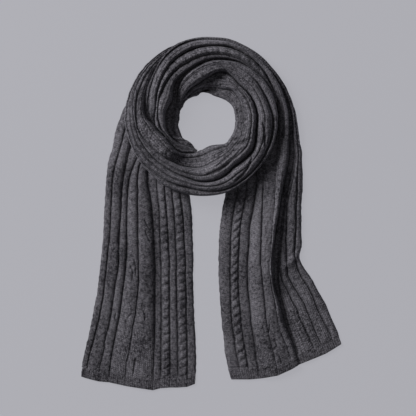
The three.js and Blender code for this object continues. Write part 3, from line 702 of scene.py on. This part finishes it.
RIGHT_TAIL_RIGHT_PART = [
    {"path": [(155, 107), (150, 77), (144, 47), (140, 27), (137, 7), (134, -13), (130, -33),
              (127, -53), (123, -77), (121, -103), (122, -129), (128, -153), (136, -173), (143, -203),
              (153, -233), (165, -263), (172, -287), (176, -301.5)],
     "heights": [3, 2.8, 2.8, 2.8, 2.8, 2.8], "knit": "rib"},
    {"path": [(167, 117), (165, 97), (161, 77), (154, 47), (149, 33), (146, 7), (142, -23), (139, -53),
              (136, -83), (134, -109), (134, -133), (138, -157), (143, -179), (150, -207),
              (158, -233), (168, -263), (175, -287), (180, -300)],
     "heights": [3, 2.8, 2.8, 2.8, 2.8, 2.8], "fold": [0, 1, 1, 3, 3, 1.5], "knit": "plait"},
    {"path": [(169, 117), (167, 97), (163, 77), (156, 47), (151, 33), (148, 7), (144, -23),
              (141, -53), (138, -83), (138, -113), (144, -137), (154, -155), (162, -173),
              (172, -191), (180, -213), (190, -233), (198, -251), (206, -269), (211, -288)],
     "heights": [4, 4, 3.5, 3, 3, 2.8], "fold": [0, 2, 3, 2, 1, 0.5], "knit": "rib"},
    {"path": [(171, 117), (169, 97), (166, 77), (159, 47), (154, 27), (152, -3), (151, -43),
              (151, -77), (152, -103), (156, -127), (170, -153), (180, -169), (188, -183),
              (196, -203), (204, -223), (212, -243), (224, -267), (230, -280)],
     "heights": [5, 4, 3.5, 3, 3, 2.8], "fold": [6, 6, 6, 3, 1.5, 0.5], "knit": "plait"},
    {"path": [(174, 117), (173, 77), (172, 47), (171, 7), (170, -33), (168, -63), (167, -77),
              (172, -103), (182, -127), (194, -145), (201, -159), (208, -177), (218, -201),
              (230, -223), (240, -243), (248, -263), (250, -268)],
     "heights": [8, 7, 6, 4, 3, 2.8], "fold": [4, 4, 4, 2.5, 1.5, 0.5], "knit": "rib"},
    {"path": [(182, 125), (182.5, 107), (184, 83), (184, 59), (182, 35), (181, 11), (181, -13),
              (181, -37), (182, -61), (180, -73), (177, -85), (180.5, -97), (187, -109), (203, -133),
              (215, -157), (229, -181), (239, -205), (250, -229), (258.5, -253), (261, -261)],
     "heights": [3, 3, 2.8, 2.8, 2.8, 2.8]},
]

# Creases across the tails: a depth in mm (below zero for a ridge), a width in mm and a line of (x, y).
LEFT_TAIL_CREASES = table("depth width line", [
    (3.0, 1.6, [(-150, -289), (-153, -303), (-155, -319)]),
    (2.5, 1.5, [(-134, -196), (-131, -204), (-132, -212)]),
    (2.4, 1.6, [(-131, -35), (-126, -48), (-121, -56)]),
    (2.2, 1.6, [(-133, -12), (-127, -24), (-121, -32)]),
    (3.0, 1.7, [(-160, -104), (-156, -118), (-158, -132)]),
    (2.4, 1.6, [(-154, -92), (-150, -106), (-151, -124)]),
    (2.0, 1.5, [(-198, -108), (-192, -114), (-186, -110)]),
    (2.2, 1.6, [(-165, -208), (-160, -200), (-154, -202)]),
    (1.6, 1.6, [(-172, -240), (-168, -226), (-170, -214)]),
    (1.6, 1.5, [(-194, -190), (-190, -200), (-192, -212)]),
])
RIGHT_TAIL_CREASES = table("depth width line", [
    (2.6, 1.7, [(104, -224), (108, -238), (116, -238), (118, -222)]),
    (2.6, 1.7, [(116, -268), (124, -272), (132, -264), (128, -252)]),
    (2.6, 1.8, [(138, -285), (141, -296), (143, -310)]),
    (-4.5, 6.5, [(145, -109), (157, -99), (169, -85)]),
    (1.8, 1.6, [(160, -196), (170, -202), (176, -196)]),
    (1.6, 1.7, [(152, -222), (166, -222), (176, -214)]),
    (1.4, 1.5, [(178, -140), (186, -142), (192, -136)]),
])


def press_strokes(grid, strokes):
    """Presses short creases, given as lines of (x, y), into a grid."""
    x, y, z, _, _, painted_shade = grid
    for stroke in strokes:
        nearest = np.full_like(x, 1e6)
        for (x0, y0), (x1, y1) in zip(stroke["line"], stroke["line"][1:]):
            run = (x1 - x0) ** 2 + (y1 - y0) ** 2
            share = np.clip(((x - x0) * (x1 - x0) + (y - y0) * (y1 - y0)) / run, 0, 1)
            nearest = np.minimum(nearest, np.hypot(x - x0 - share * (x1 - x0),
                                                   y - y0 - share * (y1 - y0)))
        mark = np.exp(-(nearest / stroke["width"]) ** 2)
        z -= stroke["depth"] * mark
        # painted shade: a crease also darkens the colour along it, as shade falls in it
        painted_shade += 0.4 * mark * (stroke["depth"] > 0)


def tail_lines(chart, top, bottom, step_mm):
    """The grooves of a tail between two levels over its hem, each given as a function of the length
    of a groove: where they run, how high they are, how far the column beside each is folded up, and
    how far over the hem each point is."""
    lengths = [row["path"][0][1] - row["path"][-1][1] for row in chart]
    count = int(max(top(length) - bottom(length) for length in lengths) / step_mm) + 1
    down = np.linspace(1, 0, count)[:, None]
    sides, floors, folds, levels = [], [], [], []
    for row, length in zip(chart, lengths):
        v = bottom(length) + (top(length) - bottom(length)) * down
        y = row["path"][-1][1] + v
        x = along([(py, px) for px, py in row["path"]])(y)
        sides.append((x, y))
        floors.append(along(list(zip(LEVELS, row["heights"])))(y))
        folds.append(along(list(zip(LEVELS, row.get("fold", UNFOLDED))))(y))
        levels.append(v)
    return sides, floors, folds, levels


def tail_folds(chart, lines, step, border=False):
    sides, floors, folds, levels = lines
    parts, u = [], 0.0
    for k in range(len(chart) - 1):
        row = chart[k]
        kind = "border" if border else row["knit"]
        above = levels[k] - BORDER_LENGTH
        clear = smooth(0.7 - above / 4) if border else 0.45 + 0.55 * smooth(above / 9)
        part, width = fold_grid(
            sides[k:k + 2], floors[k:k + 2], lambda floor: folds[k] + 0 * floor,
            row.get("lean", 0.5), [(kind, 0.0, 1.0)], levels[k], u, step,
            (row.get("cut", 1.0), chart[k + 1].get("cut", 1.0)), clear)
        parts.append(part)
        u += width
    return parts


def tail_grid(chart, top, bottom, step_mm, column_step, border=False):
    lines = tail_lines(chart, top, bottom, step_mm)
    return joined_grids(tail_folds(chart, lines, column_step, border))


def tucked_under(row, width=7, share=0.45):
    """A part's last groove, and a strip this wide past it that slopes down, to this share of its
    height, under the fold beside it."""
    strip_end = {**row, "path": [(x + width, y) for x, y in row["path"]],
                 "heights": [height * share for height in row["heights"]]}
    return [{**row, "fold": UNFOLDED}, strip_end]


def whole(length):
    return length


def over_border(length):
    return BORDER_LENGTH - BORDER_LAP


def border_top(length):
    return BORDER_LENGTH


def at_hem(length):
    return 0.0


def shell_from(name, grid, seed, strokes=(), thickness=CLOTH):
    press_strokes(grid, strokes)
    ruffle(grid, seed)
    return cloth_shell(name, np.stack(grid[:3], 2), np.stack(grid[3:5], 2), grid[5], thickness)


TAIL_STEP = 1.6        # mm from row to row down a tail
BORDER_STEP = 1.4      # the same down a border
JOIN_GAP = 8           # a groove's own points start this far below the end of the ring's crease


def second_turn_grid(step_deg, step_mm):
    """The second turn of the ring and, below it, the right part of the right tail, as one grid."""
    count = int(round((OUTER_TURN["from"] - OUTER_TURN["to"]) / step_deg)) + 1
    angle = np.linspace(OUTER_TURN["from"], OUTER_TURN["to"], count)[:, None]
    radii, floors = ring_lines(OUTER_TURN, angle)
    ends = [polar(OUTER_TURN["to"], radius[-1, 0]) for radius in radii]
    chart = []
    for row, end in zip([RIGHT_TAIL_LEFT_PART[-1]] + RIGHT_TAIL_RIGHT_PART, ends):
        rest = [point for point in row["path"] if point[1] < end[1] - JOIN_GAP]
        chart.append({**row, "path": [end] + rest})
    tail_start = chart[0]["path"][0][1] - chart[0]["path"][-1][1]
    ring_v = tail_start + np.radians(angle - OUTER_TURN["to"]) * radii[0].mean()
    ring_parts, _, _ = ring_folds(OUTER_TURN, angle, ring_v, step_mm)
    lines = tail_lines(chart, whole, over_border, TAIL_STEP)
    tail_parts = tail_folds(chart, lines, step_mm)
    parts = []
    for above, below in zip(ring_parts, tail_parts):
        columns = max(above[0].shape[1], below[0].shape[1])
        parts.append([np.concatenate([resampled(a, columns)[:-1], resampled(b, columns)])
                      for a, b in zip(above, below)])
    sides = [tuple(np.concatenate([polar(angle, radii[k])[i][:-1], lines[0][k][i]]) for i in (0, 1))
             for k in range(len(radii))]
    joined_floors = [np.concatenate([floors[k][:-1], lines[1][k]]) for k in range(len(radii))]
    joined = joined_grids(parts)
    return with_skirts(joined, sides, joined_floors, joined[4][:, :1])


def resampled(values, columns):
    """A grid's rows drawn again with this many points across."""
    have = values.shape[1]
    place = np.linspace(0, have - 1, columns)
    low = np.minimum(place.astype(int), have - 2)
    share = place - low
    return values[:, low] * (1 - share) + values[:, low + 1] * share


# ---- materials ----------------------------------------------------------------------------------------
def colour(hex_value):
    """An sRGB hex colour as linear red, green, blue and alpha."""
    parts = [int(hex_value[i:i + 2], 16) / 255 for i in (1, 3, 5)]
    return [p / 12.92 if p <= 0.04045 else ((p + 0.055) / 1.055) ** 2.4 for p in parts] + [1.0]


def add(tree, kind, settings=None, **links):
    """Adds a node. settings are its own properties, links fill its sockets, by name or as i0, i1 and
    so on: each takes a value, a socket, or a node for that node's first output."""
    node = tree.nodes.new(kind)
    for name, value in (settings or {}).items():
        setattr(node, name, value)
    for name, value in links.items():
        numbered = name[0] == "i" and name[1:].isdigit()
        socket = node.inputs[int(name[1:]) if numbered else name.replace("_", " ")]
        if isinstance(value, bpy.types.Node):
            value = value.outputs[0]
        if isinstance(value, bpy.types.NodeSocket):
            tree.links.new(value, socket)
        else:
            socket.default_value = value
    return node


MATH, NOISE = "ShaderNodeMath", "ShaderNodeTexNoise"
PLUS, MINUS, TIMES, OVER, POWER, SINE, FRACTION, SIZE = (
    {"operation": name} for name in (
        "ADD", "SUBTRACT", "MULTIPLY", "DIVIDE", "POWER", "SINE", "FRACT", "ABSOLUTE"))


def charcoal_wool(name, dark, pale):
    """Carded wool yarn, heather dyed and knitted: dull and soft, with pale and near-black fibres
    blended in each strand, so it looks speckled close to and plain grey from far off."""
    material = bpy.data.materials.new(name)
    material.use_nodes = True
    tree = material.node_tree
    tree.nodes.clear()
    knit = add(tree, "ShaderNodeUVMap", {"uv_map": "Knit"})
    across, down = add(tree, "ShaderNodeSeparateXYZ", None, i0=knit).outputs[:2]
    place = add(tree, "ShaderNodeTexCoord").outputs["Object"]

    # the V of a knit stitch: two legs that rise outwards from the middle of the wale
    wale = add(tree, MATH, FRACTION, i0=add(tree, MATH, OVER, i0=across, i1=STITCH_WIDTH))
    from_middle = add(tree, MATH, MINUS, i0=add(tree, MATH, TIMES, i0=wale, i1=2.0), i1=1.0)
    outward = add(tree, MATH, SIZE, i0=from_middle)
    row = add(tree, MATH, OVER, i0=down, i1=STITCH_HEIGHT)
    climb = add(tree, MATH, TIMES, i0=outward, i1=0.8)
    slanted = add(tree, MATH, FRACTION, i0=add(tree, MATH, MINUS, i0=row, i1=climb))
    leg = add(tree, MATH, SINE, i0=add(tree, MATH, TIMES, i0=slanted, i1=math.pi))
    side = add(tree, MATH, SINE, i0=add(tree, MATH, TIMES, i0=outward, i1=math.pi))
    yarn = add(tree, MATH, TIMES, i0=add(tree, MATH, POWER, i0=leg, i1=0.6),
               i1=add(tree, MATH, POWER, i0=side, i1=0.6))

    # heather: flecks of fibre, clumps of them, and slow drifts in the dye
    fleck = add(tree, NOISE, None, Vector=place, Scale=1 / (FLECK * MM), Detail=3.0, Roughness=0.8)
    clump = add(tree, NOISE, None, Vector=place, Scale=1 / (CLUMP * MM), Detail=2.0, Roughness=0.6)
    drift = add(tree, NOISE, None, Vector=place, Scale=1 / (DYE_DRIFT * MM), Detail=2.0, Roughness=0.5)
    fibres = add(tree, MATH, PLUS, i0=add(tree, MATH, TIMES, i0=fleck, i1=0.55),
                 i1=add(tree, MATH, TIMES, i0=clump, i1=0.45))
    dye = add(tree, MATH, TIMES, i0=add(tree, MATH, MINUS, i0=drift, i1=0.5), i1=0.25)
    ramp = add(tree, "ShaderNodeValToRGB", None, Fac=add(tree, MATH, PLUS, i0=fibres, i1=dye))
    stops = ramp.color_ramp.elements
    stops[0].position, stops[0].color = 0.39, colour(dark)
    stops[1].position, stops[1].color = 0.62, colour(pale)

    # painted shade: the colour is darkened in grooves, folds and creases, and between the legs of each
    # stitch, where shade falls; the tops of the yarn are painted a little lighter
    painted_shade = add(tree, "ShaderNodeAttribute", {"attribute_name": "painted_shade"}).outputs["Fac"]
    painted_shade_factor = add(tree, MATH, MINUS, i0=1.0, i1=add(tree, MATH, TIMES, i0=painted_shade, i1=0.55))
    strand = add(tree, MATH, PLUS, i0=0.5, i1=add(tree, MATH, TIMES, i0=yarn, i1=0.68))
    shade = add(tree, MATH, TIMES, i0=painted_shade_factor, i1=strand)
    grey = add(tree, "ShaderNodeCombineColor", None, i0=shade, i1=shade, i2=shade)
    tint = add(tree, "ShaderNodeMix", {"data_type": "RGBA", "blend_type": "MULTIPLY"}, i0=1.0,
               i6=ramp, i7=grey).outputs[2]

    fuzz = add(tree, NOISE, None, Vector=place, Scale=1 / (FUZZ * MM), Detail=2.0)
    relief = add(tree, MATH, PLUS, i0=add(tree, MATH, TIMES, i0=yarn, i1=0.9),
                 i1=add(tree, MATH, TIMES, i0=fuzz, i1=0.35))
    bump = add(tree, "ShaderNodeBump", None, Strength=0.75, Distance=LOFT_HEIGHT * MM, Height=relief)
    wool = add(tree, "ShaderNodeBsdfPrincipled", None, Base_Color=tint, Roughness=0.92, Normal=bump,
               Specular_IOR_Level=0.18, Sheen_Weight=0.28, Sheen_Roughness=0.55,
               Sheen_Tint=colour("#9A9AA2"))
    add(tree, "ShaderNodeOutputMaterial", None, i0=wool)
    return material


def studio_floor():
    """Opal acrylic lit softly from behind: even and pale, and a shadow on it is faint."""
    material = bpy.data.materials.new("lit_opal_acrylic")
    material.use_nodes = True
    shader = material.node_tree.nodes["Principled BSDF"]
    shader.inputs["Base Color"].default_value = colour("#4C4C4F")
    shader.inputs["Roughness"].default_value = 0.9
    shader.inputs["Specular IOR Level"].default_value = 0.1
    shader.inputs["Emission Color"].default_value = colour("#A6A6AC")
    shader.inputs["Emission Strength"].default_value = 1.0
    return material


# ---- the floor and the scarf -----------------------------------------------------------------------------
FLOOR_HALF = 6.0
floor_mesh = bpy.data.meshes.new("floor")
floor_mesh.from_pydata(
    [(-FLOOR_HALF, -FLOOR_HALF, 0), (FLOOR_HALF, -FLOOR_HALF, 0), (FLOOR_HALF, FLOOR_HALF, 0),
     (-FLOOR_HALF, FLOOR_HALF, 0)], [], [(0, 1, 2, 3)])
floor = bpy.data.objects.new("floor", floor_mesh)
floor_mesh.materials.append(studio_floor())
bpy.context.scene.collection.objects.link(floor)

cable_knit = charcoal_wool("heathered_charcoal_wool_cable_knit", "#323036", "#949199")
ribbed_knit = charcoal_wool("heathered_charcoal_wool_rib", "#302E34", "#908D95")

wrap = ring_piece("front_wrap_cloth", FRONT_WRAP, FRONT_CREASES, 0.85, 0.95, SEED)
inner = ring_piece("inner_folds_cloth", INNER_FOLDS, INNER_CREASES, 0.75, 0.8, SEED + 10)
outer = shell_from("second_turn_cloth", second_turn_grid(0.7, 0.95), SEED + 20, RIGHT_TAIL_CREASES)

RIGHT_TAIL = RIGHT_TAIL_LEFT_PART + RIGHT_TAIL_RIGHT_PART
LEFT_OF_PLEAT = RIGHT_TAIL_LEFT_PART[:-1] + tucked_under(RIGHT_TAIL_LEFT_PART[-1])
left = shell_from("left_tail_cloth", tail_grid(LEFT_TAIL, whole, over_border, TAIL_STEP, 1.1),
                  SEED + 30, LEFT_TAIL_CREASES)
right = shell_from("right_tail_cloth", tail_grid(LEFT_OF_PLEAT, whole, over_border, TAIL_STEP, 1.1),
                   SEED + 40, RIGHT_TAIL_CREASES)
left_border, right_border = (
    shell_from(name, tail_grid(chart, border_top, at_hem, BORDER_STEP, 0.75, True), seed,
               thickness=BORDER_CLOTH)
    for name, chart, seed in (
        ("left_border_cloth", LEFT_TAIL, SEED + 50), ("right_border_cloth", RIGHT_TAIL, SEED + 60)))

CLOTH_WIDTH = 0.235    # metres, the whole width of the scarf as knitted
# Of each stretch: the nodes it stands for, its material and slot, the width and length of cloth that
# show, in metres, their flat area where they aren't a rectangle, and what it lies on. Where part of
# the width shows, it is the area of the shell above over its length, rounded.
for piece, nodes, material, slot, width, length, area, below in (
        (wrap, ["front_wrap"], cable_knit, "cable_knit", 0.170, 0.840, None, [inner, left, right]),
        (inner, ["inner_folds"], cable_knit, "cable_knit", 0.110, 0.430, None, [floor]),
        (outer, ["outer_turn", "right_tail"], cable_knit, "cable_knit", 0.120, 0.960, None, [floor]),
        (left, ["left_tail"], cable_knit, "cable_knit", CLOTH_WIDTH, 0.550, 0.108, [floor]),
        (right, ["right_tail"], cable_knit, "cable_knit", 0.125, 0.460, 0.053, [floor]),
        (left_border, ["left_hem"], ribbed_knit, "ribbed_border", CLOTH_WIDTH, 0.019, None, [floor]),
        (right_border, ["right_hem"], ribbed_knit, "ribbed_border", CLOTH_WIDTH, 0.019, None, [floor])):
    piece.data.materials.append(material)
    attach(piece, "root")
    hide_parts(*nodes)


# ---- light and camera -----------------------------------------------------------------------------------
def soft_light(name, place, size, watts):
    """A round soft light, aimed at the middle of the scarf."""
    data = bpy.data.lights.new(name, "AREA")
    data.shape = "DISK"
    data.size = size
    data.energy = watts
    lamp = bpy.data.objects.new(name, data)
    lamp.location = place
    x, y, z = place
    lamp.rotation_euler = (
        math.pi / 2 - math.atan2(z, math.hypot(x, y)), 0, math.atan2(-y, -x) - math.pi / 2)
    bpy.context.scene.collection.objects.link(lamp)


soft_light("key", (-3.0, 2.1, 2.4), 2.4, 165)
soft_light("overhead", (0.2, 0.1, 4.2), 1.6, 8)
world = bpy.data.worlds.new("studio")
world.use_nodes = True
background = world.node_tree.nodes["Background"]
background.inputs["Color"].default_value = colour("#E6E8EE")
background.inputs["Strength"].default_value = 0.06
bpy.context.scene.world = world
bpy.context.scene.view_settings.view_transform = "Standard"

VIEW_WIDTH = 0.832           # metres of floor across the picture
CAMERA_HEIGHT = 5.0
camera_data = bpy.data.cameras.new("camera")
camera_data.lens = camera_data.sensor_width * CAMERA_HEIGHT / VIEW_WIDTH
camera = bpy.data.objects.new("camera", camera_data)
camera.location = (-0.007, 0.0105, CAMERA_HEIGHT)
bpy.context.scene.collection.objects.link(camera)
bpy.context.scene.camera = camera
